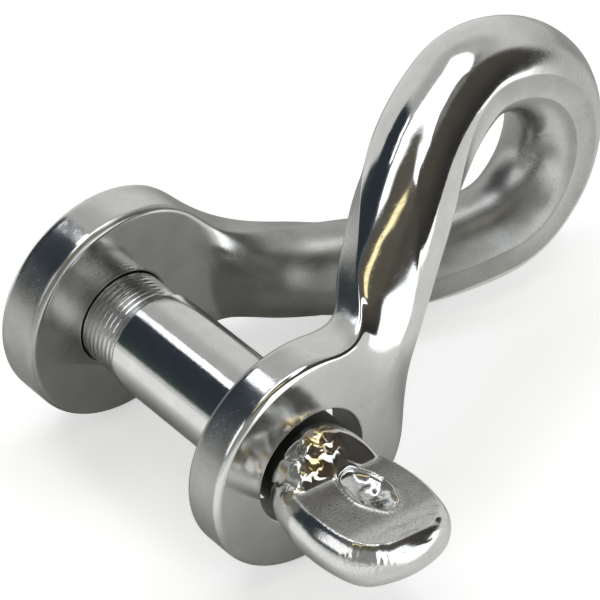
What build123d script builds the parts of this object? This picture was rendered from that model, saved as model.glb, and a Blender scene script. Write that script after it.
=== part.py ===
"""A twisted shackle: a one-piece bow whose bar turns a quarter between its two ears and its crown,
closed by a screw pin with a flat tang for a head.

The shackle is modelled upright, with X along the pin towards its head, Z from the pin towards the crown
and the origin on the pin's axis, midway between the ears. It is then laid down about X, to where both
ears' rims and the lower leg touch the ground together, and written with +Z up."""

import math
import os

from build123d import *

os.makedirs("parts", exist_ok=True)

# Driving dimensions, in millimetres and degrees
PIN_D = 6.0  # plain shank
JAW = 13.5  # clear width between the ears
PIN_TO_ARC = 20.05  # pin's axis to the centre of the crown's arc
ARC_R = 6.17  # crown's arc, to the middle of the bar
TWIST = 90.0
TWIST_PAST = 2.65  # the path's twist is complete this far above the centre of the crown's arc
FLATS_START = 4.2  # the flats' twist starts this far over the pin's axis
FLATS_SHY = 0.75  # and is complete this far under the centre of the crown's arc

BAR_T = 5.25  # bar over its two rounded sides
CROWN_W = 5.64  # bar across its two trimmed flats, at the crown
LEG_W = 5.25  # the same where the legs start
BAR_FLAT = 2.2  # height of each trimmed flat
BAR_EDGE = 0.3

NEAR_EAR_T = 2.56
FAR_EAR_T = 2.9  # the threaded ear
EAR_D = 13.2
EAR_RISE = 0.33  # ears' discs stand this much higher than the pin's axis
EAR_EDGE = 0.4
LEG_INSET = 0.6  # middle of the legs stands this much inside the middle of the near ear

RIM_START = -50.0  # turn of the rim where the bar's sections start, inside the ear's disc
NECK_OVER = 2.67  # the ear's neck has become plain bar this far above its disc
NECK_PULL = 0.42  # how far the neck's curve follows its two ends, as a share of its length
NECK_OUTER_TURN = 64.0  # turn of the rim, from its widest point, where the hollow neck leaves it
NECK_INNER_TURN = 26.0  # the same on the side that the leg leans to
NOSE_UNDER = 1.93  # the bar's rounding starts this far under the top of the disc
NOSE_OVER = 1.27  # and is complete this far above it

HOLE_GAP = 0.45  # round the shank in the near ear's hole
HOLE_UP = 0.15  # that hole's middle lies this far over the pin's axis
HOLE_SIDE = 0.2  # and this far beside it
SHOULDER = 2.9  # far ear's inner face to the step between thread and shank
THREAD_STEP = 0.2  # the thread is smaller than the shank by this, all round
THREAD_GAP = 0.04  # running gap of the thread in its ear
THREAD_SHY = 0.3  # the thread ends this far inside the far ear's outer face
THREAD_LEAD = 0.5  # chamfer on the thread's end
NECK_STEP = 0.2  # the same for the neck inside the near ear
NECK_OUT = 0.35  # the neck runs this far past the near ear's outer face

TANG_T = 2.8
TANG_W = 7.86
ROOT_FLARE = 0.05  # the tang's root is wider than the neck by this on each side
TANG_END_W = 6.4
TANG_LENGTH = 8.65  # from the neck to the end
TANG_WIDEST = 4.8  # from the neck to where it has its full width
TANG_CROWN = 0.9  # rise of the end's arc
TANG_CORNER = 1.7
TANG_EDGE = 1.1
TANG_TURN = 70.0  # about the pin, from the Y axis to the tang's width
TANG_DROP = 0.45  # the tang's middle lies this far under the pin's axis
TANG_SIDE = 0.08  # and this far beside it
ROOT_STEP = 0.5  # from the neck's end to where its two slopes start
ROOT_SLOPE = 1.7  # their length along the pin
DIMPLE_L = 3.4
DIMPLE_W = 1.9
DIMPLE_DEEP = 0.55
DIMPLE_AT = 3.9  # from the neck's end
DIMPLE_SIDE = 0.78  # to the side of the tang's middle

# Values that follow from them
EAR_HOLE_D = PIN_D + 2 * HOLE_GAP
THREAD_D = PIN_D - 2 * THREAD_STEP
NECK_D = PIN_D - 2 * NECK_STEP
TANG_ROOT_W = NECK_D + 2 * ROOT_FLARE
EAR_R = EAR_D / 2
LEG_R = (JAW + NEAR_EAR_T) / 2 - LEG_INSET
NECK_END = JAW / 2 + NEAR_EAR_T + NECK_OUT
THREAD_END = -JAW / 2 - FAR_EAR_T + THREAD_SHY
EAR_TOP = EAR_RISE + EAR_R
NECK_TOP = EAR_TOP + NECK_OVER
NOSE_FOOT = EAR_TOP - NOSE_UNDER
NOSE_TOP = EAR_TOP + NOSE_OVER
TWIST_L = PIN_TO_ARC + TWIST_PAST
FLATS_END = PIN_TO_ARC - FLATS_SHY
CROWN = PIN_TO_ARC + ARC_R * math.pi / 2  # path's length from the pin's height to the crown

# How finely it is drawn
STEP = 1e-3
SEAM = 0.005  # the lofted bar meets the ears' plain halves to within this
NECK_STEPS = 18
BAR_STEPS = 11
RAIL_POINTS = 60
LEG_POINTS = 200
ACROSS_POINTS = 8


def smooth(t):
    """0 to 1 with no slope at either end."""
    t = min(max(t, 0.0), 1.0)
    return t * t * (3 - 2 * t)


def path_twist(z):
    return math.radians(TWIST) * smooth(z / TWIST_L)


def flats_twist(z):
    return math.radians(TWIST) * smooth((z - FLATS_START) / (FLATS_END - FLATS_START))


def bar_width(s):
    return LEG_W + (CROWN_W - LEG_W) * smooth((s - NECK_TOP) / (CROWN - NECK_TOP))


def bar_centre(s):
    """Middle of the near half's bar. s is the height up to the crown's arc, and the arc's length after it."""
    if s <= PIN_TO_ARC:
        z, r = s, LEG_R + (ARC_R - LEG_R) * smooth(s / PIN_TO_ARC)
    else:
        turn = (s - PIN_TO_ARC) / ARC_R
        z, r = PIN_TO_ARC + ARC_R * math.sin(turn), ARC_R * math.cos(turn)
    a = path_twist(z)
    return Vector(r * math.cos(a), -r * math.sin(a), z)


def bar_tangent(s):
    return (bar_centre(s + STEP) - bar_centre(s - STEP)).normalized()


def bar_side(s):
    """Direction across the bar's flats, square to its path."""
    a = flats_twist(bar_centre(s).Z)
    across, along = Vector(math.sin(a), math.cos(a), 0), bar_tangent(s)
    return (across - along * across.dot(along)).normalized()


def flat_line(s, sign):
    """Middle of one trimmed flat."""
    return bar_centre(s) + bar_side(s) * (sign * bar_width(s) / 2)


def rim_point(turn, sign, ear_t):
    """Middle of an ear's rim, turned up from its widest point."""
    a = math.radians(turn)
    return Vector((JAW + ear_t) / 2, sign * EAR_R * math.cos(a), EAR_RISE + EAR_R * math.sin(a))


def bezier(points, t):
    while len(points) > 1:
        points = [a + (b - a) * t for a, b in zip(points, points[1:])]
    return points[0]


def neck_rail(sign, leave, ear_t):
    """Points up one side of the neck: round the rim, then off it along a smooth curve on to the flat."""
    start, end = rim_point(leave, sign, ear_t), flat_line(NECK_TOP, sign)
    off = (rim_point(leave + STEP, sign, ear_t) - start).normalized()
    on = (flat_line(NECK_TOP + STEP, sign) - end).normalized()
    reach = (end - start).length * NECK_PULL
    ends = [start, start + off * reach, end - on * reach, end]
    turns = [RIM_START + (leave - RIM_START) * i / RAIL_POINTS for i in range(RAIL_POINTS)]
    rim = [rim_point(turn, sign, ear_t) for turn in turns]
    return rim + [bezier(ends, i / RAIL_POINTS) for i in range(RAIL_POINTS + 1)]


def along(points, share):
    """The point at that share of a polyline's length."""
    lengths = [(b - a).length for a, b in zip(points, points[1:])]
    left = share * sum(lengths)
    for a, b, length in zip(points, points[1:], lengths):
        if left <= length:
            return a + (b - a) * (left / length)
        left -= length
    return points[-1]


def outline(half_w, half_side, half_t, edge):
    """Section of the bar or of the ear, with X through its thickness and Y across its flats."""
    bottom_left, bottom_right = (-half_side, -half_w), (half_side, -half_w)
    top_left, top_right = (-half_side, half_w), (half_side, half_w)
    if half_t - half_side > STEP:
        outer = ThreePointArc(bottom_right, (half_t, 0), top_right)
        inner = ThreePointArc(top_left, (-half_t, 0), bottom_left)
    else:
        outer, inner = Line(bottom_right, top_right), Line(top_left, bottom_left)
    sides = [Line(bottom_left, bottom_right), outer, Line(top_right, top_left), inner]
    face = make_face(Curve() + sides)
    return fillet(face.vertices(), edge)


def placed(face, origin, through, path):
    return Plane(origin=origin, x_dir=through, z_dir=path) * face


def neck_section(share, rails, ear_t):
    """Section of an ear and its neck, from the rails' start at 0 to plain bar at 1."""
    left, right = (along(rail, share) for rail in rails)
    across = (right - left).normalized()
    rise = (left.Z + right.Z) / 2
    nose = smooth((rise - NOSE_FOOT) / (NOSE_TOP - NOSE_FOOT))
    path = (bar_tangent(rise) * nose + Vector(0, 0, 1) * (1 - nose)).normalized()
    path = (path - across * path.dot(across)).normalized()
    through = across.cross(path)
    lean = Vector(1, 0, 0) * (1 - nose) + through * nose
    middle = (left + right) * 0.5
    half_side = (ear_t * (1 - nose) + BAR_FLAT * nose) / 2
    half_t = (ear_t * (1 - nose) + BAR_T * nose) / 2
    edge = EAR_EDGE * (1 - nose) + BAR_EDGE * nose
    face = outline((right - left).length / 2, half_side, half_t, edge)
    return placed(face, middle, lean, path)


def bar_section(s):
    side, path = bar_side(s), bar_tangent(s)
    face = outline(bar_width(s) / 2, BAR_FLAT / 2, BAR_T / 2, BAR_EDGE)
    return placed(face, bar_centre(s), side.cross(path), path)


def half_turn(shape):
    """The far half is the near half turned about the shackle's height."""
    return Rot(0, 0, 180) * shape


def neck(ear_t):
    """An ear's neck, as sections from inside its disc to plain bar."""
    rails = neck_rail(-1, NECK_INNER_TURN, ear_t), neck_rail(1, NECK_OUTER_TURN, ear_t)
    return [neck_section(i / NECK_STEPS, rails, ear_t) for i in range(NECK_STEPS)]


def ear_foot(ear_t):
    """Lower half of an ear, with its rim's two edges rounded."""
    disc = Plane.YZ * Cylinder(EAR_R, ear_t)
    disc = fillet(disc.edges().filter_by(GeomType.CIRCLE), EAR_EDGE)
    lower = Pos(0, 0, -EAR_R) * Box(2 * EAR_D, 2 * EAR_D, 2 * EAR_R)
    return Pos((JAW + ear_t) / 2, 0, EAR_RISE) * (disc & lower)


def ear_bore(diameter, ear_t):
    """Cutter for one ear's hole."""
    return Pos((JAW + ear_t) / 2, 0, 0) * (Plane.YZ * Cylinder(diameter / 2, 2 * ear_t))


def bow():
    """The bar is one loft from ear to ear, cut off at the ears' widest line, where plain halves take over."""
    leg = [bar_section(NECK_TOP + (CROWN - NECK_TOP) * i / BAR_STEPS) for i in range(BAR_STEPS)]
    far = [half_turn(face) for face in reversed(neck(FAR_EAR_T) + leg)]
    over = Pos(0, 0, EAR_RISE + CROWN) * Box(4 * JAW, 4 * JAW, 2 * CROWN)
    bar = loft(neck(NEAR_EAR_T) + leg + [bar_section(CROWN)] + far) & over
    body = bar.fuse(ear_foot(NEAR_EAR_T), half_turn(ear_foot(FAR_EAR_T)), tol=SEAM)
    hole = Pos(0, HOLE_SIDE, HOLE_UP) * ear_bore(EAR_HOLE_D, NEAR_EAR_T)
    return body - hole - half_turn(ear_bore(THREAD_D + 2 * THREAD_GAP, FAR_EAR_T))


def turned(diameter, start, end):
    """A plain round length of the pin."""
    return Pos((start + end) / 2, 0, 0) * (Plane.YZ * Cylinder(diameter / 2, end - start))


def tang():
    """The pin's flat head, from the neck's end at the origin, with its width along Y."""
    shoulder_x, shoulder_y = TANG_LENGTH - TANG_CROWN, TANG_END_W / 2
    side = ThreePointArc((0, -TANG_ROOT_W / 2), (TANG_WIDEST, -TANG_W / 2), (shoulder_x, -shoulder_y))
    end = ThreePointArc((shoulder_x, -shoulder_y), (TANG_LENGTH, 0), (shoulder_x, shoulder_y))
    root = Line((0, TANG_ROOT_W / 2), (0, -TANG_ROOT_W / 2))
    face = make_face(Curve() + [side, end, mirror(side, Plane.XZ), root])
    face = fillet(face.vertices().group_by(Axis.X)[-1], TANG_CORNER)
    plate = extrude(face, TANG_T / 2, both=True)
    edges = plate.faces().sort_by(Axis.Z)[0].edges() + plate.faces().sort_by(Axis.Z)[-1].edges()
    plate = fillet([e for e in edges if e.center().X > STEP], TANG_EDGE)
    dimple = scale(Sphere(1), by=(DIMPLE_L / 2, DIMPLE_W / 2, DIMPLE_DEEP))
    return plate - Pos(DIMPLE_AT, DIMPLE_SIDE, TANG_T / 2) * dimple


def neck_root():
    """The neck's end, sloped down on both sides to the tang's two faces."""
    foot, tip = ROOT_STEP, ROOT_STEP + ROOT_SLOPE
    top, bottom = TANG_T / 2 - TANG_DROP, -TANG_T / 2 - TANG_DROP
    upper = [(-NECK_OUT, NECK_D), (foot, NECK_D / 2), (tip, top)]
    lower = [(tip, bottom), (foot, -NECK_D / 2), (-NECK_OUT, -NECK_D)]
    wedge = extrude(Plane.XZ * make_face(Polyline(upper + lower, close=True)), NECK_D, both=True)
    return wedge & turned(NECK_D, -NECK_OUT, tip)


def pin():
    thread = turned(THREAD_D, THREAD_END, -JAW / 2 + SHOULDER)
    thread = chamfer(thread.edges().group_by(Axis.X)[0], THREAD_LEAD)
    shaft = thread + turned(PIN_D, -JAW / 2 + SHOULDER, JAW / 2) + turned(NECK_D, JAW / 2, NECK_END)
    head = neck_root() + Pos(0, -TANG_SIDE, -TANG_DROP) * tang()
    return shaft + Rot(TANG_TURN, 0, 0) * (Pos(NECK_END, 0, 0) * head)


def rounded_side(across, half_w):
    """How far the bar's rounded side stands from its middle, at that place across it."""
    rise = (BAR_T - BAR_FLAT) / 2
    radius = (rise**2 + half_w**2) / (2 * rise)
    return BAR_T / 2 - radius + math.sqrt(radius**2 - across**2)


def leg_surface():
    """Points on the far leg's two rounded sides."""
    points = []
    for i in range(LEG_POINTS):
        s = NECK_TOP + (CROWN - NECK_TOP) * i / LEG_POINTS
        side, middle = bar_side(s), bar_centre(s)
        out = side.cross(bar_tangent(s))
        half_w = bar_width(s) / 2
        for j in range(-ACROSS_POINTS, ACROSS_POINTS + 1):
            across = (half_w - BAR_EDGE) * j / ACROSS_POINTS
            through = rounded_side(across, half_w)
            points += [middle + side * across + out * through, middle + side * across - out * through]
    return [Vector(-p.X, -p.Y, p.Z) for p in points]


def reach_down(points, lean):
    """How far points reach towards the ground, with the shackle laid down and its crown raised by lean."""
    a = math.radians(lean)
    return max(p.Y * math.cos(a) - p.Z * math.sin(a) for p in points)


def lie():
    """The crown's rise above level at which the lower leg and both ears touch the ground."""
    leg = leg_surface()
    low, high = -45.0, 45.0
    while high - low > STEP / 10:
        lean = (low + high) / 2
        ear = EAR_R - EAR_RISE * math.sin(math.radians(lean))
        if reach_down(leg, lean) > ear:
            low = lean
        else:
            high = lean
    return low


if __name__ == "__main__":
    lean = lie()
    laid = Rot(lean - 90, 0, 0)
    for name, piece in (("shackle_bow", bow()), ("shackle_pin", pin())):
        export_step(laid * piece, f"parts/{name}.step")
    print("crown's rise above level:", round(lean, 3), "degrees")
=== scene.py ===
"""The twisted shackle as it looks: a polished bow and its screw pin, lying on a pale studio floor.

The pieces are shaped upright, in millimetres, with X along the pin towards its head, Z from the pin to
the crown and the origin on the pin's axis, midway between the ears. They are laid down at the end."""

import math

import bmesh
import bpy
from mathutils import Matrix, Vector, noise
from mathutils.geometry import intersect_sphere_sphere_2d


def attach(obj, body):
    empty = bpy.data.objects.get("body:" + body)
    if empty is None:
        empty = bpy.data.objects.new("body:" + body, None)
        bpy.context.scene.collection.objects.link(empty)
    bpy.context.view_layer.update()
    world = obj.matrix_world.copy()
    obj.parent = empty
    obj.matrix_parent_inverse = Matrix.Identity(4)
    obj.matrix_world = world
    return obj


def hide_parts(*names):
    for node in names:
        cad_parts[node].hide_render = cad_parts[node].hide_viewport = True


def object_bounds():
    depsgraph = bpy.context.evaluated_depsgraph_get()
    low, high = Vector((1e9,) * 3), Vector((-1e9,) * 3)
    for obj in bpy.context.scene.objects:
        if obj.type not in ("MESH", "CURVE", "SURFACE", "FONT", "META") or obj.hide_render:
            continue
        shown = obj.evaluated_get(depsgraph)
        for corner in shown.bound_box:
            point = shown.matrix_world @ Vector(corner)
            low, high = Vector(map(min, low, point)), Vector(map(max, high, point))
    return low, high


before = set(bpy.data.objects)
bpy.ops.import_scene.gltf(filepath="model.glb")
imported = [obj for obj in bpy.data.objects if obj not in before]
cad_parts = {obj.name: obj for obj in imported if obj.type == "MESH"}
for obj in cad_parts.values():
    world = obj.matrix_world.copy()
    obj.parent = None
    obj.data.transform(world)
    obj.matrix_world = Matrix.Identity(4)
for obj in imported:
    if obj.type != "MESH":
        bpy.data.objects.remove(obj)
cad_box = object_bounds()

MM = 0.001

# Lie and bow, in millimetres and degrees
LEAN = 7.169  # crown's rise above level
JAW = 13.5
PIN_TO_ARC = 20.05
ARC_R = 6.17
TWIST = 90.0
TWIST_L = PIN_TO_ARC + 2.65  # height at which the path's twist is complete
FLATS_START = 4.2  # heights at which the flats' twist starts and is complete
FLATS_END = PIN_TO_ARC - 0.75
BAR_T = 5.25
CROWN_W = 5.64
LEG_W = 5.25
BAR_FLAT = 1.5
BAR_EDGE = 0.3
NEAR_EAR_T = 2.56
FAR_EAR_T = 2.9
EAR_R = 6.6
EAR_RISE = 0.33
EAR_EDGE = 0.4
LEG_R = (JAW + NEAR_EAR_T) / 2 - 0.6
EAR_TOP = EAR_RISE + EAR_R
NECK_TOP = EAR_TOP + 2.67
NECK_PULL = 0.42
NECK_OUTER_TURN = 64.0
NECK_INNER_TURN = 26.0
NOSE_FOOT = EAR_TOP - 2.3
NOSE_TOP = EAR_TOP + 2.0
TILT_FOOT = EAR_TOP - 1.5
WAVE = 0.02  # height and breadth of the hand finish's waves
WAVE_SIZE = 2.6
NEAR_HOLE_R = 3.45
NEAR_HOLE_SIDE = 0.2
NEAR_HOLE_UP = 0.15
FAR_HOLE_R = 2.84
HOLE_ROUNDING = 0.14
CROWN = PIN_TO_ARC + ARC_R * math.pi / 2

# Pin
SHANK_R = 3.0
NECK_R = 2.8
NECK_END = JAW / 2 + NEAR_EAR_T + 0.35
THREAD_START = -JAW / 2 + 2.9
THREAD_END = -JAW / 2 - FAR_EAR_T + 0.3
THREAD_R = 2.8
THREAD_DEPTH = 0.025
THREAD_PITCH = 0.35
THREAD_LEAD = 0.5
TANG_T = 2.8
TANG_W = 7.86
TANG_ROOT_W = 5.7
TANG_END_W = 6.4
TANG_LENGTH = 8.65
TANG_WIDEST = 4.8
TANG_CROWN = 0.9
TANG_CORNER = 2.4
TANG_TURN = 70.0
TANG_DROP = 0.45
TANG_SIDE = 0.08
TANG_BULGE = 0.72  # how far its rounded sides stand out past its flat faces
ROOT_STEP = 0.5
ROOT_SLOPE = 1.7
HEAD_GRAIN = 0.06  # size of the head's faces after remeshing
DIMPLE_L = 3.7
DIMPLE_W = 2.35
DIMPLE_DEEP = 0.5
DIMPLE_AT = 3.85
DIMPLE_SIDE = 0.5

# How finely it is drawn
STEP = 1e-3
SIDE_STEPS = 16
CORNER_STEPS = 8
FLAT_STEPS = 5
NECK_STEPS = 64
BAR_STEPS = 100
RIM_STEPS = 96
RAIL_POINTS = 60


def smooth(t):
    """0 to 1 with no slope at either end."""
    t = min(max(t, 0.0), 1.0)
    return t * t * (3 - 2 * t)


def path_twist(z):
    return math.radians(TWIST) * smooth(z / TWIST_L)


def flats_twist(z):
    return math.radians(TWIST) * smooth((z - FLATS_START) / (FLATS_END - FLATS_START))


def bar_width(s):
    return LEG_W + (CROWN_W - LEG_W) * smooth((s - NECK_TOP) / (CROWN - NECK_TOP))


def bar_centre(s):
    """Middle of the near half's bar, by height up to the crown's arc and by the arc's length after it."""
    if s <= PIN_TO_ARC:
        z, r = s, LEG_R + (ARC_R - LEG_R) * smooth(s / PIN_TO_ARC)
    else:
        turn = (s - PIN_TO_ARC) / ARC_R
        z, r = PIN_TO_ARC + ARC_R * math.sin(turn), ARC_R * math.cos(turn)
    a = path_twist(z)
    return Vector((r * math.cos(a), -r * math.sin(a), z))


def bar_tangent(s):
    return (bar_centre(s + STEP) - bar_centre(s - STEP)).normalized()


def bar_side(s):
    """Direction across the bar's flats, square to its path."""
    a = flats_twist(bar_centre(s).z)
    across, along = Vector((math.sin(a), math.cos(a), 0)), bar_tangent(s)
    return (across - along * across.dot(along)).normalized()


def flat_line(s, sign):
    return bar_centre(s) + bar_side(s) * (sign * bar_width(s) / 2)


def rim_point(turn, sign, ear_t):
    """Middle of an ear's rim, turned up from its widest point."""
    a = math.radians(turn)
    return Vector(((JAW + ear_t) / 2, sign * EAR_R * math.cos(a), EAR_RISE + EAR_R * math.sin(a)))


def bezier(points, t):
    while len(points) > 1:
        points = [a.lerp(b, t) for a, b in zip(points, points[1:])]
    return points[0]


def neck_rail(sign, leave, ear_t):
    """Points up one side of the neck: round the rim, then off it along a smooth curve on to the flat."""
    start, end = rim_point(leave, sign, ear_t), flat_line(NECK_TOP, sign)
    off = (rim_point(leave + STEP, sign, ear_t) - start).normalized()
    on = (flat_line(NECK_TOP + STEP, sign) - end).normalized()
    reach = (end - start).length * NECK_PULL
    ends = [start, start + off * reach, end - on * reach, end]
    rim = [rim_point(leave * i / RAIL_POINTS, sign, ear_t) for i in range(RAIL_POINTS)]
    return rim + [bezier(ends, i / RAIL_POINTS) for i in range(RAIL_POINTS + 1)]


def along(points, share):
    """The point at that share of a polyline's length."""
    lengths = [(b - a).length for a, b in zip(points, points[1:])]
    left = share * sum(lengths)
    for a, b, length in zip(points, points[1:], lengths):
        if left <= length:
            return a.lerp(b, left / length)
        left -= length
    return points[-1]


def quarter(half_w, half_side, half_t, edge):
    """A quarter of the bar's outline, from the middle of its rounded side to the middle of its flat."""
    rise, y = half_t - half_side, half_w - edge
    if rise > STEP:
        radius = (rise**2 + half_w**2) / (2 * rise)
        middle = half_t - radius
        x = middle + math.sqrt((radius - edge) ** 2 - y**2)
        reach = math.atan2(y, x - middle)
        steps = [reach * i / SIDE_STEPS for i in range(SIDE_STEPS)]
        side = [(middle + radius * math.cos(a), radius * math.sin(a)) for a in steps]
    else:
        x, reach = half_side - edge, 0.0
        side = [(half_t, y * i / SIDE_STEPS) for i in range(SIDE_STEPS)]
    turns = [reach + (math.pi / 2 - reach) * i / CORNER_STEPS for i in range(CORNER_STEPS)]
    corner = [(x + edge * math.cos(a), y + edge * math.sin(a)) for a in turns]
    return side + corner + [(x * (1 - i / FLAT_STEPS), half_w) for i in range(FLAT_STEPS + 1)]


def outline(*sizes):
    """The bar's whole outline, as (through, across) points, from the middle of one rounded side."""
    part = quarter(*sizes)
    half = part + [(-x, y) for x, y in part[-2::-1]]
    return half + [(x, -y) for x, y in half[-2:0:-1]]


def neck_ring(share, rails, ear_t):
    """Outline of an ear and its neck, from the ear's widest line at 0 to plain bar at 1."""
    left, right = (along(rail, share) for rail in rails)
    across = (right - left).normalized()
    rise = (left.z + right.z) / 2
    nose = smooth((rise - NOSE_FOOT) / (NOSE_TOP - NOSE_FOOT))
    tilt = smooth((rise - TILT_FOOT) / (NECK_TOP - TILT_FOOT))
    path = (bar_tangent(rise) * tilt + Vector((0, 0, 1)) * (1 - tilt)).normalized()
    path = (path - across * path.dot(across)).normalized()
    lean = Vector((1, 0, 0)) * (1 - tilt) + across.cross(path) * tilt
    lean = (lean - path * lean.dot(path)).normalized()
    across = path.cross(lean)
    half_side = (ear_t * (1 - nose) + BAR_FLAT * nose) / 2
    half_t = (ear_t * (1 - nose) + BAR_T * nose) / 2
    edge = EAR_EDGE * (1 - nose) + BAR_EDGE * nose
    middle = (left + right) / 2
    points = outline((right - left).length / 2, half_side, half_t, edge)
    return [middle + (lean * x + across * y) for x, y in points]


def bar_ring(s):
    middle, side, path = bar_centre(s), bar_side(s), bar_tangent(s)
    through = side.cross(path)
    points = outline(bar_width(s) / 2, BAR_FLAT / 2, BAR_T / 2, BAR_EDGE)
    return [middle + through * x + side * y for x, y in points]


def near_rings(ear_t):
    """Every outline from an ear's widest line up to the crown, as if the ear were the near one."""
    rails = neck_rail(-1, NECK_INNER_TURN, ear_t), neck_rail(1, NECK_OUTER_TURN, ear_t)
    neck = [neck_ring(i / NECK_STEPS, rails, ear_t) for i in range(NECK_STEPS)]
    bar = [bar_ring(NECK_TOP + (CROWN - NECK_TOP) * i / BAR_STEPS) for i in range(BAR_STEPS)]
    return neck[:NECK_STEPS // 2] + [
        waved(ring, smooth(2 * i / NECK_STEPS)) for i, ring in enumerate(neck[NECK_STEPS // 2:])
    ] + [waved(ring, 1) for ring in bar]


def half_turned(ring):
    """The same outline on the far side, with its points in the near side's order."""
    turned = [Vector((-p.x, -p.y, p.z)) for p in ring]
    return turned[:1] + turned[:0:-1]


def closed_loop(bm, points):
    verts = [bm.verts.new(p) for p in points]
    edges = [bm.edges.new(pair) for pair in zip(verts, verts[1:] + verts[:1])]
    return verts, edges


def pull_on(bm, verts, edges, points):
    """Extrudes a loop and moves it to the next outline."""
    made = bmesh.ops.extrude_edge_only(bm, edges=edges)["geom"]
    fresh = {v for v in made if isinstance(v, bmesh.types.BMVert)}
    ends = [next(e.other_vert(v) for e in v.link_edges if e.other_vert(v) in fresh) for v in verts]
    for vert, point in zip(ends, points):
        vert.co = point
    pairs = zip(ends, ends[1:] + ends[:1])
    return ends, [bm.edges.get(pair) for pair in pairs]


def tidy(bm):
    bmesh.ops.remove_doubles(bm, verts=bm.verts, dist=STEP)
    bmesh.ops.recalc_face_normals(bm, faces=bm.faces)


def soften(bm, verts, times):
    for _ in range(times):
        bmesh.ops.smooth_vert(bm, verts=verts, factor=0.5, use_axis_x=True, use_axis_y=True, use_axis_z=True)


def ease_neck(bm, loops):
    """Softens the inside of a neck, where the rounded bar steps in from the flat ear."""
    middle = len(loops[0]) // 2
    whole = middle - 1
    eased = (28, 72, SIDE_STEPS - 1, 60), (24, 78, SIDE_STEPS + 1, 12), (38, 70, whole, 10), (34, 76, whole, 6), \
        (30, 84, whole, 5), (26, 92, whole, 4)
    for start, end, reach, times in eased:
        verts = [loops[i][j] for i in range(start, end) for j in range(middle - reach, middle + reach + 1)]
        soften(bm, verts, times)


def ear_foot(bm, verts, edges, ear_t, side):
    """The ear's lower half: its rim is spun round from one end of its widest line to the other."""
    rim_half = 2 * (CORNER_STEPS + FLAT_STEPS)
    count = len(verts)
    middle = 3 * count // 4
    rim = {verts[i] for i in range(middle - rim_half // 2, middle + rim_half // 2 + 1)}
    chain = [e for e in edges if e.verts[0] in rim and e.verts[1] in rim]
    centre = Vector((side * (JAW + ear_t) / 2, 0, EAR_RISE))
    turn = math.copysign(math.pi, verts[middle].co.y)
    spun = bmesh.ops.spin(bm, geom=chain, cent=centre, axis=(-1, 0, 0), dvec=(0, 0, 0), angle=turn,
                          steps=RIM_STEPS, use_duplicate=False)
    return spun


def fill_flats(bm):
    bmesh.ops.remove_doubles(bm, verts=bm.verts, dist=STEP)
    bmesh.ops.holes_fill(bm, edges=[e for e in bm.edges if e.is_boundary], sides=0)


def revolved(profile, steps):
    """A closed turned shape about X, from (x, radius) points that start and end on the axis."""
    bm = bmesh.new()
    verts = [bm.verts.new((x, 0, r)) for x, r in profile]
    edges = [bm.edges.new(pair) for pair in zip(verts, verts[1:])]
    bmesh.ops.spin(bm, geom=verts + edges, cent=(0, 0, 0), axis=(1, 0, 0), dvec=(0, 0, 0),
                   angle=2 * math.pi, steps=steps, use_merge=True, use_duplicate=False)
    tidy(bm)
    return bm


def arc(centre, radius, start, end, steps):
    turns = [math.radians(start + (end - start) * i / steps) for i in range(steps + 1)]
    return [(centre[0] + radius * math.cos(a), centre[1] + radius * math.sin(a)) for a in turns]


def hole_cutter(ear_t, radius, side, shift):
    """The tool that bores one ear and rounds both mouths of the hole."""
    inner, outer, c = JAW / 2, JAW / 2 + ear_t, HOLE_ROUNDING
    wide = radius + c
    left = arc((inner + c, wide), c, 184, 270, 6)
    right = arc((outer - c, wide), c, 270, 356, 6)
    profile = [(inner - 1, 0), (inner - 1, left[0][1])] + left + right + [(outer + 1, right[-1][1]), (outer + 1, 0)]
    bm = revolved(profile, RIM_STEPS)
    bmesh.ops.translate(bm, verts=bm.verts, vec=(0, *shift))
    if side < 0:
        bmesh.ops.rotate(bm, verts=bm.verts, cent=(0, 0, 0), matrix=Matrix.Rotation(math.pi, 3, "Z"))
    return bm


def made_object(name, bm):
    mesh = bpy.data.meshes.new(name)
    bm.to_mesh(mesh)
    bm.free()
    piece = bpy.data.objects.new(name, mesh)
    bpy.context.scene.collection.objects.link(piece)
    return piece


def applied(piece):
    """Gives a piece the mesh that its modifiers make, and takes the modifiers off."""
    bpy.context.view_layer.update()
    graph = bpy.context.evaluated_depsgraph_get()
    mesh = bpy.data.meshes.new_from_object(piece.evaluated_get(graph), depsgraph=graph)
    piece.modifiers.clear()
    piece.data = mesh


def joined(piece, tool, operation):
    """Cuts another shape out of a piece, or melts it in."""
    boolean = piece.modifiers.new("join", "BOOLEAN")
    boolean.operation, boolean.object, boolean.solver = operation, tool, "EXACT"
    applied(piece)
    bpy.data.objects.remove(tool)


def laid_down(piece):
    turn = Matrix.Rotation(math.radians(LEAN - 90), 4, "X")
    piece.data.transform(Matrix.Scale(MM, 4) @ turn)


def shaded_smooth(piece, sharp):
    """Smooth faces with hard edges past an angle, and flat faces left flat."""
    piece.data.shade_smooth()
    piece.data.set_sharp_from_angle(angle=math.radians(sharp))
    flat = piece.modifiers.new("flat faces", "WEIGHTED_NORMAL")
    flat.keep_sharp = True


def waved(ring, share):
    """A ring of the bar, with the slow waves that hand grinding left."""
    middle = sum(ring, Vector()) / len(ring)
    rises = [share * WAVE * noise.noise(p / WAVE_SIZE) for p in ring]
    return [p + (p - middle).normalized() * rise for p, rise in zip(ring, rises)]


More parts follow.
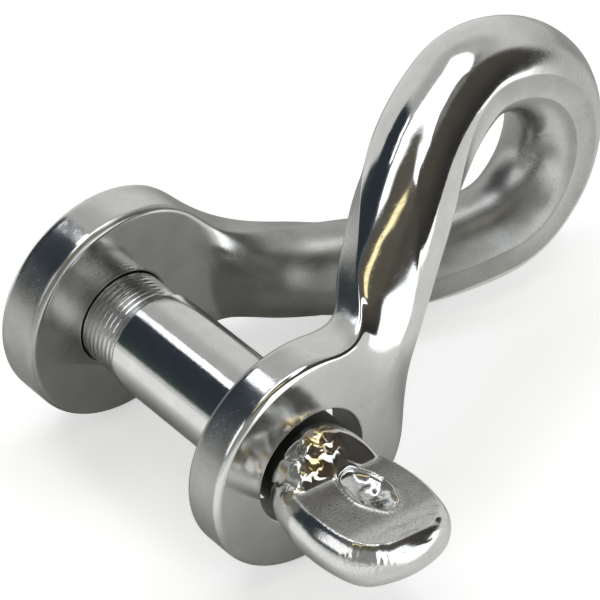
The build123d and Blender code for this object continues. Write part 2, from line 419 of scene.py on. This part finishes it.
def bow_finish(point, normal):
    """The wheel reached the bow's outside; the crown, and what faces inwards, kept a satin finish."""
    flat = smooth((abs(normal.x) - 0.8) / 0.15) * smooth((EAR_TOP + 2.2 - point.z) / 2.8)
    out = Vector((point.x, point.y, max(0.0, point.z - PIN_TO_ARC)))
    facing = normal.dot(out.normalized())
    crown = smooth((point.z - PIN_TO_ARC - 1) / 5)
    inside = smooth((0.1 - facing) / 0.4)
    satin = max(0.75 * crown, smooth((0.75 - facing) / 0.5)) * (1 - 0.7 * crown * inside)
    return satin + flat * (0.25 - satin)


def make_bow():
    bm = bmesh.new()
    near, far = near_rings(NEAR_EAR_T), near_rings(FAR_EAR_T)
    rings = near + [waved(bar_ring(CROWN), 1)] + [half_turned(ring) for ring in reversed(far)]
    verts, edges = closed_loop(bm, rings[0])
    first = verts, edges
    loops = [verts]
    for ring in rings[1:]:
        verts, edges = pull_on(bm, verts, edges, ring)
        loops.append(verts)
    ease_neck(bm, loops)
    ease_neck(bm, loops[::-1])
    ear_foot(bm, *first, NEAR_EAR_T, 1)
    ear_foot(bm, verts, edges, FAR_EAR_T, -1)
    fill_flats(bm)
    tidy(bm)
    bow = made_object("bow", bm)
    near_tool = hole_cutter(NEAR_EAR_T, NEAR_HOLE_R, 1, (NEAR_HOLE_SIDE, NEAR_HOLE_UP))
    joined(bow, made_object("near_tool", near_tool), "DIFFERENCE")
    far_tool = hole_cutter(FAR_EAR_T, FAR_HOLE_R, -1, (0, 0))
    joined(bow, made_object("far_tool", far_tool), "DIFFERENCE")
    mark(bow, "satin", bow_finish)
    laid_down(bow)
    shaded_smooth(bow, 35)
    return bow


def circle_through(a, b, c):
    """Centre and radius of the circle through three points on a flat."""
    (ax, ay), (bx, by), (cx, cy) = a, b, c
    d = 2 * (ax * (by - cy) + bx * (cy - ay) + cx * (ay - by))
    a2, b2, c2 = ax * ax + ay * ay, bx * bx + by * by, cx * cx + cy * cy
    x = (a2 * (by - cy) + b2 * (cy - ay) + c2 * (ay - by)) / d
    y = (a2 * (cx - bx) + b2 * (ax - cx) + c2 * (bx - ax)) / d
    return Vector((x, y)), math.hypot(ax - x, ay - y)


def tang_outline(inset):
    """The tang's outline, drawn in by an inset, from one side of its root round its end to the other."""
    root, widest = Vector((0, TANG_ROOT_W / 2)), Vector((TANG_WIDEST, TANG_W / 2))
    shoulder = Vector((TANG_LENGTH - TANG_CROWN, TANG_END_W / 2))
    side, side_r = circle_through(root, widest, shoulder)
    end_r = (shoulder.y**2 + TANG_CROWN**2) / (2 * TANG_CROWN)
    end = Vector((TANG_LENGTH - end_r, 0))
    meets = intersect_sphere_sphere_2d(side, side_r - TANG_CORNER, end, end_r - TANG_CORNER)
    corner = max(meets, key=lambda p: p.x)
    if corner.y < 0:
        corner = min(meets, key=lambda p: p.x)
    turns = [math.degrees(math.atan2(v.y, v.x)) for v in (root - side, corner - side, corner - end)]
    half = arc(side, side_r - inset, turns[0], turns[1], 40)[:-1]
    half += arc(corner, TANG_CORNER - inset, turns[1], turns[2], 24)[:-1]
    half += arc(end, end_r - inset, turns[2], 0, 30)
    return half + [(x, -y) for x, y in half[-2::-1]]


def tang():
    """The flat head, with its width along Y: two flat faces with a crisp edge, and a rounded side."""
    bm = bmesh.new()
    half = TANG_T / 2
    radius = (half**2 + TANG_BULGE**2) / (2 * TANG_BULGE)
    reach = math.asin(half / radius)
    turns = [reach * (i / 10 - 1) for i in range(21)]
    levels = [(radius * (1 - math.cos(a)), radius * math.sin(a)) for a in turns]
    outlines = [[(x, y, z) for x, y in tang_outline(inset)] for inset, z in levels]
    verts, edges = closed_loop(bm, outlines[0])
    for points in outlines[1:]:
        verts, edges = pull_on(bm, verts, edges, points)
    fill_flats(bm)
    tidy(bm)
    bmesh.ops.translate(bm, verts=bm.verts, vec=(0, -TANG_SIDE, -TANG_DROP))
    return bm


def neck_root():
    """The round neck's end, sloped down on both sides to the tang's two faces."""
    tip = ROOT_STEP + ROOT_SLOPE
    start = JAW / 2 + 0.05 - NECK_END
    bm = revolved([(start, 0), (start, NECK_R), (tip, NECK_R), (tip, 0)], RIM_STEPS)
    for face in (1, -1):
        drop = NECK_R - (TANG_T / 2 - face * TANG_DROP)
        slope = Vector((drop, 0, face * ROOT_SLOPE)).normalized()
        everything = bm.verts[:] + bm.edges[:] + bm.faces[:]
        bmesh.ops.bisect_plane(bm, geom=everything, dist=STEP, plane_co=(ROOT_STEP, 0, face * NECK_R),
                               plane_no=slope, clear_outer=True)
        fill_flats(bm)
    tidy(bm)
    return bm


def crater(x, y):
    """Depth of the oval dimple at a place on the upper face, with its thrown-up lip."""
    u = (x - DIMPLE_AT) / (DIMPLE_L / 2)
    v = (y + TANG_SIDE - DIMPLE_SIDE) / (DIMPLE_W / 2)
    wobble = 0.10 * noise.noise(Vector((x, y, 3.0)) * 1.3)
    r = math.hypot(u, v) + wobble
    bowl = DIMPLE_DEEP * max(0.0, 1 - r * r) ** 0.8
    ripple = 0.10 * noise.noise(Vector((x * 1.6, y * 2.4, 7.0))) * smooth(1.3 * (1 - r))
    lip = 0.07 * math.exp(-(((r - 1.06) / 0.10) ** 2))
    return ripple + lip - bowl


def hammered(point, normal):
    """Where the hammer's dents are: the upper slope of the head's root, mostly on one side."""
    x, y, z = point
    return smooth((2.3 - x) / 0.8) * smooth((x + 0.2) / 0.5) * smooth((normal.z - 0.3) / 0.3) * smooth((1.2 - y) / 1.4)


def worked(point, normal):
    """Where a point of the forged head ends up: dimple, hammered root, end creases and soft waves."""
    x, y, z = point
    up = normal.z
    rise = WAVE * noise.noise(point / 1.4)
    if z > 0 and up > 0.5:
        rise += crater(x, y)
        end = smooth((x - 6.2) / 1.6)
        crease = math.sin(9.0 * (x - 0.10 * y * y) + 2.0 * noise.noise(Vector((x, y, 1.0)) * 0.9))
        rise += 0.012 * end * crease
    crumpled = point * 1.2 + noise.noise_vector(point * 1.5) * 0.55
    dent = noise.voronoi(crumpled)[0][0]
    rise += hammered(point, normal) * 0.19 * (dent * dent - 0.1)
    side = smooth(1.6 * (1 - abs(up) - 0.15)) * smooth((up + 0.1) / 0.3)
    ripple = math.sin(17.0 * (0.6 * x + 0.8 * y) + 4.0 * noise.noise(point * 0.8))
    corner = smooth((x - 6.0) / 0.8) * smooth((-1.3 - y) / 0.8) * smooth((y + 4.4) / 0.6)
    rise += 0.014 * side * corner * ripple
    return point + normal * rise


def make_head():
    head = made_object("head", tang())
    joined(head, made_object("root", neck_root()), "UNION")
    remesh = head.modifiers.new("grain", "REMESH")
    remesh.mode, remesh.voxel_size, remesh.adaptivity = "VOXEL", HEAD_GRAIN, 0.0
    applied(head)
    bm = bmesh.new()
    bm.from_mesh(head.data)
    soften(bm, bm.verts, 2)
    soften(bm, [v for v in bm.verts if 0.3 < v.co.x < 3.6 and v.co.z > -0.3], 40)
    soften(bm, [v for v in bm.verts if 0.0 < v.co.x < 4.0 and v.co.z > -0.6], 6)
    bm.normal_update()
    moved = [worked(v.co, v.normal) for v in bm.verts]
    for vert, place in zip(bm.verts, moved):
        vert.co = place
    bmesh.ops.rotate(bm, verts=bm.verts, cent=(0, 0, 0), matrix=Matrix.Rotation(math.radians(TANG_TURN), 3, "X"))
    bmesh.ops.translate(bm, verts=bm.verts, vec=(NECK_END, 0, 0))
    bm.to_mesh(head.data)
    bm.free()
    return head


def threaded(bm):
    """Draws the thread's grooves into the shaft's threaded stretch."""
    for vert in bm.verts:
        x, y, z = vert.co
        r = math.hypot(y, z)
        if x < THREAD_START - 0.1 and r > THREAD_R - THREAD_LEAD - 0.01:
            turn = x / THREAD_PITCH + math.atan2(z, y) / (2 * math.pi)
            groove = THREAD_DEPTH * abs(2 * (turn % 1.0) - 1)
            share = smooth((THREAD_START - 0.1 - x) / 0.3) * smooth((x - THREAD_END) / 0.3)
            vert.co = x, y * (1 - groove * share / r), z * (1 - groove * share / r)


def make_shaft():
    fine = 0.06
    count = round((THREAD_START - THREAD_END - THREAD_LEAD) / fine)
    stretch = [(THREAD_END + THREAD_LEAD + fine * i, THREAD_R) for i in range(count)]
    lead = [(THREAD_END + fine * i, THREAD_R - THREAD_LEAD + fine * i) for i in range(1, 8)]
    profile = [(THREAD_END, 0), (THREAD_END, THREAD_R - THREAD_LEAD)] + lead + stretch
    profile += [(THREAD_START, SHANK_R - 0.06), (THREAD_START + 0.05, SHANK_R)]
    plain = JAW / 2 - 0.15 - THREAD_START - 0.05
    profile += [(THREAD_START + 0.05 + plain * i / 40, SHANK_R) for i in range(1, 41)]
    profile += [(JAW / 2, NECK_R), (JAW / 2, NECK_R - 0.3), (NECK_END, NECK_R - 0.3), (NECK_END, 0)]
    bm = revolved(profile, 128)
    threaded(bm)
    return made_object("pin", bm)


def mark(piece, name, rule):
    """Keeps a value at each point for the steel's look, such as 0 for polished and 1 for satin."""
    mesh = piece.data
    values = [rule(v.co, v.normal) for v in mesh.vertices]
    mesh.attributes.new(name, "FLOAT", "POINT").data.foreach_set("value", values)


def on_head(point, normal):
    """A point of the pin and its normal, seen from the head's own root."""
    back = Matrix.Rotation(math.radians(-TANG_TURN), 3, "X")
    return back @ (point - Vector((NECK_END, 0, 0))), back @ normal


def pin_finish(point, normal):
    if point.x > NECK_END - 0.3:
        place, facing = on_head(point, normal)
        bowl = smooth(1.5 - math.hypot((place.x - DIMPLE_AT) / DIMPLE_L, (place.y + TANG_SIDE - DIMPLE_SIDE) / DIMPLE_W) * 2)
        face = smooth((abs(facing.z) - 0.8) / 0.18)
        end = smooth((place.x - 5.8) / 0.9)
        return (0.22 + 0.78 * face * (1 - 0.7 * bowl) * (1 - 0.5 * end)) * (1 - 0.6 * hammered(place, facing))
    return 0.5 if point.x < THREAD_START else 0.0


def pin_gold_reflection(point, normal):
    """Where the painted golden reflection goes: among the hammer's dents on the head's root."""
    return hammered(*on_head(point, normal)) if point.x > NECK_END - 0.3 else 0.0


def make_pin():
    pin = make_shaft()
    joined(pin, make_head(), "UNION")
    mark(pin, "satin", pin_finish)
    mark(pin, "gold_reflection", pin_gold_reflection)
    laid_down(pin)
    shaded_smooth(pin, 35)
    return pin


class Value:
    """A socket's value, so that shader maths reads as plain expressions."""

    def __init__(self, shader, socket):
        self.shader, self.socket = shader, socket

    def math(self, operation, a, b):
        return self.shader.add("Math", {"operation": operation}, {0: a, 1: b})

    def __add__(self, other):
        return self.math("ADD", self, other)

    def __radd__(self, other):
        return self.math("ADD", other, self)

    def __sub__(self, other):
        return self.math("SUBTRACT", self, other)

    def __rsub__(self, other):
        return self.math("SUBTRACT", other, self)

    def __mul__(self, other):
        return self.math("MULTIPLY", self, other)

    def __rmul__(self, other):
        return self.math("MULTIPLY", other, self)

    def __neg__(self):
        return self.math("MULTIPLY", self, -1.0)


class Shader:
    """The nodes of one material, or of the world."""

    def __init__(self, owner):
        owner.use_nodes = True
        self.tree = owner.node_tree
        self.tree.nodes.clear()

    def add(self, kind, settings=None, inputs=None, output=0):
        """Adds a node with its settings, then its sockets' values or links, and gives back an output."""
        node = self.tree.nodes.new("ShaderNode" + kind)
        for name, value in (settings or {}).items():
            setattr(node, name, value)
        for name, value in (inputs or {}).items():
            if isinstance(value, Value):
                self.tree.links.new(value.socket, node.inputs[name])
            else:
                node.inputs[name].default_value = value
        if node.outputs:
            return Value(self, node.outputs[output])
        return None

    def step(self, value, low, high):
        """0 under low, 1 over high, smooth between."""
        return self.add("MapRange", {"interpolation_type": "SMOOTHSTEP"},
                        {"Value": value, "From Min": low, "From Max": high})

    def noise(self, place, scale, detail):
        return self.add("TexNoise", {}, {"Vector": place, "Scale": scale, "Detail": detail})

    def scratches(self, place, stretch):
        """Thin streaks, long where the pattern is stretched."""
        drawn = self.add("Mapping", {}, {"Vector": place, "Scale": stretch})
        return self.step(self.noise(drawn, 1.0, 2.0), 0.60, 0.72)

    def blend(self, share, a, b):
        return self.add("Mix", {"data_type": "RGBA"}, {0: share, 6: a, 7: b}, 2)


def steel(name, polished, satin, streak, grain):
    """Worked steel: mirror-like or satin where the piece says so, with pits, scratches and soft waves."""
    material = bpy.data.materials.new(name)
    shader = Shader(material)
    place = shader.add("TexCoord", {}, {}, "Object")
    dull = shader.add("Attribute", {"attribute_name": "satin"}, {}, "Fac")
    grit = shader.noise(place, 9000.0, 2.0)
    cloud = shader.noise(place, 700.0, 3.0)
    swell = shader.noise(place, 420.0, 1.0)
    lines = shader.scratches(place, streak)
    pits = shader.step(shader.noise(place, 8000.0, 1.0), 0.71, 0.79)
    roughness = polished + dull * (satin - polished) + (cloud - 0.5) * 0.10 * (0.35 + dull)
    roughness = roughness + (grit - 0.5) * 0.12 * (0.3 + dull) + lines * 0.05 + pits * 0.1
    bright = shader.blend(cloud, (0.52, 0.52, 0.51, 1), (0.68, 0.68, 0.67, 1))
    grey = shader.blend(cloud, (0.27, 0.265, 0.255, 1), (0.44, 0.435, 0.42, 1))
    colour = shader.blend(shader.step(dull, 0.45, 1.0), bright, grey)
    painted_gold = shader.add("Attribute", {"attribute_name": "gold_reflection"}, {}, "Fac")
    # painted golden reflection, in patches, on the hammered root
    colour = shader.blend(painted_gold * shader.step(cloud, 0.40, 0.60), colour, (0.80, 0.60, 0.28, 1))
    colour = shader.blend(dull * shader.step(grit, 0.5, 0.66) * (0.09 * grain), colour, (0.10, 0.10, 0.095, 1))
    colour = shader.blend(pits * 0.5, colour, (0.16, 0.15, 0.14, 1))
    height = grit * (0.12 + dull * dull) * grain - lines * 0.35 * (0.4 + dull) - pits * 0.3 + swell * 4.0
    bump = shader.add("Bump", {}, {"Height": height, "Strength": 1.0, "Distance": 4e-6})
    surface = shader.add("BsdfPrincipled", {}, {
        "Base Color": colour, "Metallic": 1.0, "Roughness": roughness, "Normal": bump})
    shader.add("OutputMaterial", {}, {"Surface": surface})
    return material


def light_studio():
    """A soft box overhead, a white sheet at one side, a pale wall behind and two dark openings."""
    world = bpy.data.worlds.new("studio")
    bpy.context.scene.world = world
    shader = Shader(world)
    direction = shader.add("TexCoord", {}, {}, "Generated")
    x, y, z = (shader.add("SeparateXYZ", {}, {0: direction}, i) for i in range(3))
    wall = shader.blend(shader.step(z, 0.5, 0.75), (0.86, 0.87, 0.85, 1), (0.58, 0.585, 0.57, 1))
    colour = shader.blend(shader.step(0.6 * y - 0.8 * x, 0.0, 0.35), (0.36, 0.365, 0.35, 1), wall)
    low = shader.step(-y, 0.3, 0.5) * shader.step(-z, -0.3, -0.2)
    colour = shader.blend(low, colour, (0.85, 0.86, 0.85, 1))

    slant = 0.629 * y - 0.578 * x + 0.520 * z
    sheet = shader.step(-slant, 0.0, 0.02) * shader.step(x, 0.3, 0.4) * shader.step(y + 0.14 * x, 0.0, 0.03)
    colour = shader.blend(sheet, colour, (1.9, 2.0, 2.05, 1))
    dark_front = shader.step(slant, -0.01, 0.01) * shader.step(x, 0.2, 0.3)
    brown = shader.blend(shader.step(z, 0.1, 0.7), (0.045, 0.042, 0.040, 1), (0.10, 0.09, 0.075, 1))
    colour = shader.blend(dark_front, colour, brown)

    high = shader.step(z, 0.35, 0.55)
    dark_side = shader.step(0.22 * high - y, 0.08, 0.15) * shader.step(-x, -0.1, 0.3) * shader.step(z, 0.06, 0.2)
    blue = shader.blend(shader.step(z, 0.15, 0.5), (0.05, 0.08, 0.07, 1), (0.036, 0.046, 0.060, 1))
    blue = shader.blend(shader.step(z, 0.80, 0.86), blue, (0.16, 0.20, 0.25, 1))
    colour = shader.blend(dark_side, colour, blue)
    window = shader.step(-y, 0.54, 0.60) * shader.step(x, -0.46, -0.40) * shader.step(-x, -0.10, -0.04) \
        * shader.step(z, 0.30, 0.36) * shader.step(-z, -0.78, -0.72)
    colour = shader.blend(window, colour, (1.7, 1.7, 1.7, 1))

    ceiling = shader.step(z, 0.74, 0.88) * shader.step(x, -0.1, 0.1)
    ceiling = shader.add("Math", {"operation": "MAXIMUM"}, {0: ceiling, 1: shader.step(z, 0.84, 0.86)})
    colour = shader.blend(ceiling, colour, (0.135, 0.125, 0.10, 1))
    strip = 0.837 * x - 0.522 * y - 0.164 * z
    gold = shader.step(-strip * strip, -0.0032, -0.0008) * shader.step(z, 0.87, 0.90) * shader.step(-y, -0.2, -0.1)
    colour = shader.blend(gold, colour, (2.0, 1.7, 0.98, 1))
    box = shader.step(0.77 * y - 0.64 * x, 0.0, 0.03) * shader.step(z, 0.845, 0.865) * shader.step(-z, -0.97, -0.92)
    edge = shader.step(-x, 0.56, 0.58) * shader.step(x, -0.64, -0.62) * shader.step(y, -0.12, -0.09) \
        * shader.step(-y, -0.11, -0.07) * shader.step(z, 0.775, 0.785) * shader.step(-z, -0.825, -0.81)
    lamp = shader.add("Math", {"operation": "MAXIMUM"}, {0: box, 1: edge})
    colour = shader.blend(lamp, colour, (3.4, 3.5, 3.6, 1))

    seen = shader.add("LightPath", {}, {}, "Is Camera Ray")
    colour = shader.blend(seen, colour, (1, 1, 1, 1))
    background = shader.add("Background", {}, {"Color": colour, "Strength": 1.0})
    shader.add("OutputWorld", {}, {"Surface": background})


def lay_floor():
    """White paper, which shows grey in the steel close by, bright further out and dark towards the opening: glossy
    rays see, on top of the paper, a glow painted by zone, which is painted light.
    """
    bm = bmesh.new()
    bmesh.ops.create_grid(bm, x_segments=1, y_segments=1, size=3.0)
    bmesh.ops.translate(bm, verts=bm.verts, vec=(0, 0, cad_box[0][2]))
    floor = made_object("floor", bm)
    material = bpy.data.materials.new("floor")
    shader = Shader(material)
    place = shader.add("TexCoord", {}, {}, "Object")
    x, y = (shader.add("SeparateXYZ", {}, {0: place}, i) for i in range(2))
    out = shader.step(x, 0.028, 0.034) * shader.step(y, 0.0, 0.006)
    aside = shader.step(1.43 * x - y, 0.004, 0.010)
    back = shader.step(-x, 0.030, 0.036)
    under = shader.step(x, -0.006, 0.002) * shader.step(y, 0.012, 0.018)
    near = shader.add("Math", {"operation": "MAXIMUM"}, {0: shader.step(x, 0.008, 0.022), 1: under})
    front = shader.step(-y, 0.006, 0.02)
    # painted light: a glow by zone on the floor, seen only in reflections
    painted_reflection_glow = shader.blend(back, (0, 0, 0, 1), (0.4, 0.4, 0.4, 1))
    painted_reflection_glow = shader.blend(near, painted_reflection_glow, (0.45, 0.45, 0.44, 1))
    painted_reflection_glow = shader.blend(front, painted_reflection_glow, (0.7, 0.7, 0.69, 1))
    painted_reflection_glow = shader.blend(out * aside, painted_reflection_glow, (1.5, 1.55, 1.55, 1))
    seen = shader.add("LightPath", {}, {}, "Is Camera Ray")
    mirrored = shader.add("LightPath", {}, {}, "Is Glossy Ray")
    # the paper is darker for glossy rays only: painted shade in its reflection
    sheet = shader.blend(mirrored, (0.8, 0.8, 0.79, 1), (0.62, 0.62, 0.61, 1))
    paper = shader.add("BsdfDiffuse", {}, {"Color": sheet})
    colour = shader.blend(seen, shader.blend(mirrored, (0, 0, 0, 1), painted_reflection_glow), (0.5, 0.5, 0.5, 1))
    glow = shader.add("Emission", {}, {"Color": colour, "Strength": 1.0})
    surface = shader.add("AddShader", {}, {0: paper, 1: glow})
    shader.add("OutputMaterial", {}, {"Surface": surface})
    floor.data.materials.append(material)


def set_camera():
    lens = bpy.data.cameras.new("camera")
    lens.sensor_width = 36.0
    lens.lens = 236.604
    lens.clip_start = 0.001
    camera = bpy.data.objects.new("camera", lens)
    bpy.context.scene.collection.objects.link(camera)
    camera.location = Vector((128.912, -79.489, 149.865)) * MM
    camera.rotation_euler = [math.radians(a) for a in (45.8557, 6.143, 50.1414)]
    bpy.context.scene.camera = camera


bow = make_bow()
bow.data.materials.append(steel("polished steel", 0.08, 0.33, (9000.0, 500.0, 9000.0), 1.3))
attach(bow, "bow")
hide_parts("shackle_bow")

pin = make_pin()
pin.data.materials.append(steel("pin steel", 0.10, 0.30, (9000.0, 700.0, 700.0), 5.0))
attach(pin, "pin")
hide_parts("shackle_pin")

light_studio()
lay_floor()
set_camera()
bpy.context.scene.view_settings.view_transform = "Standard"
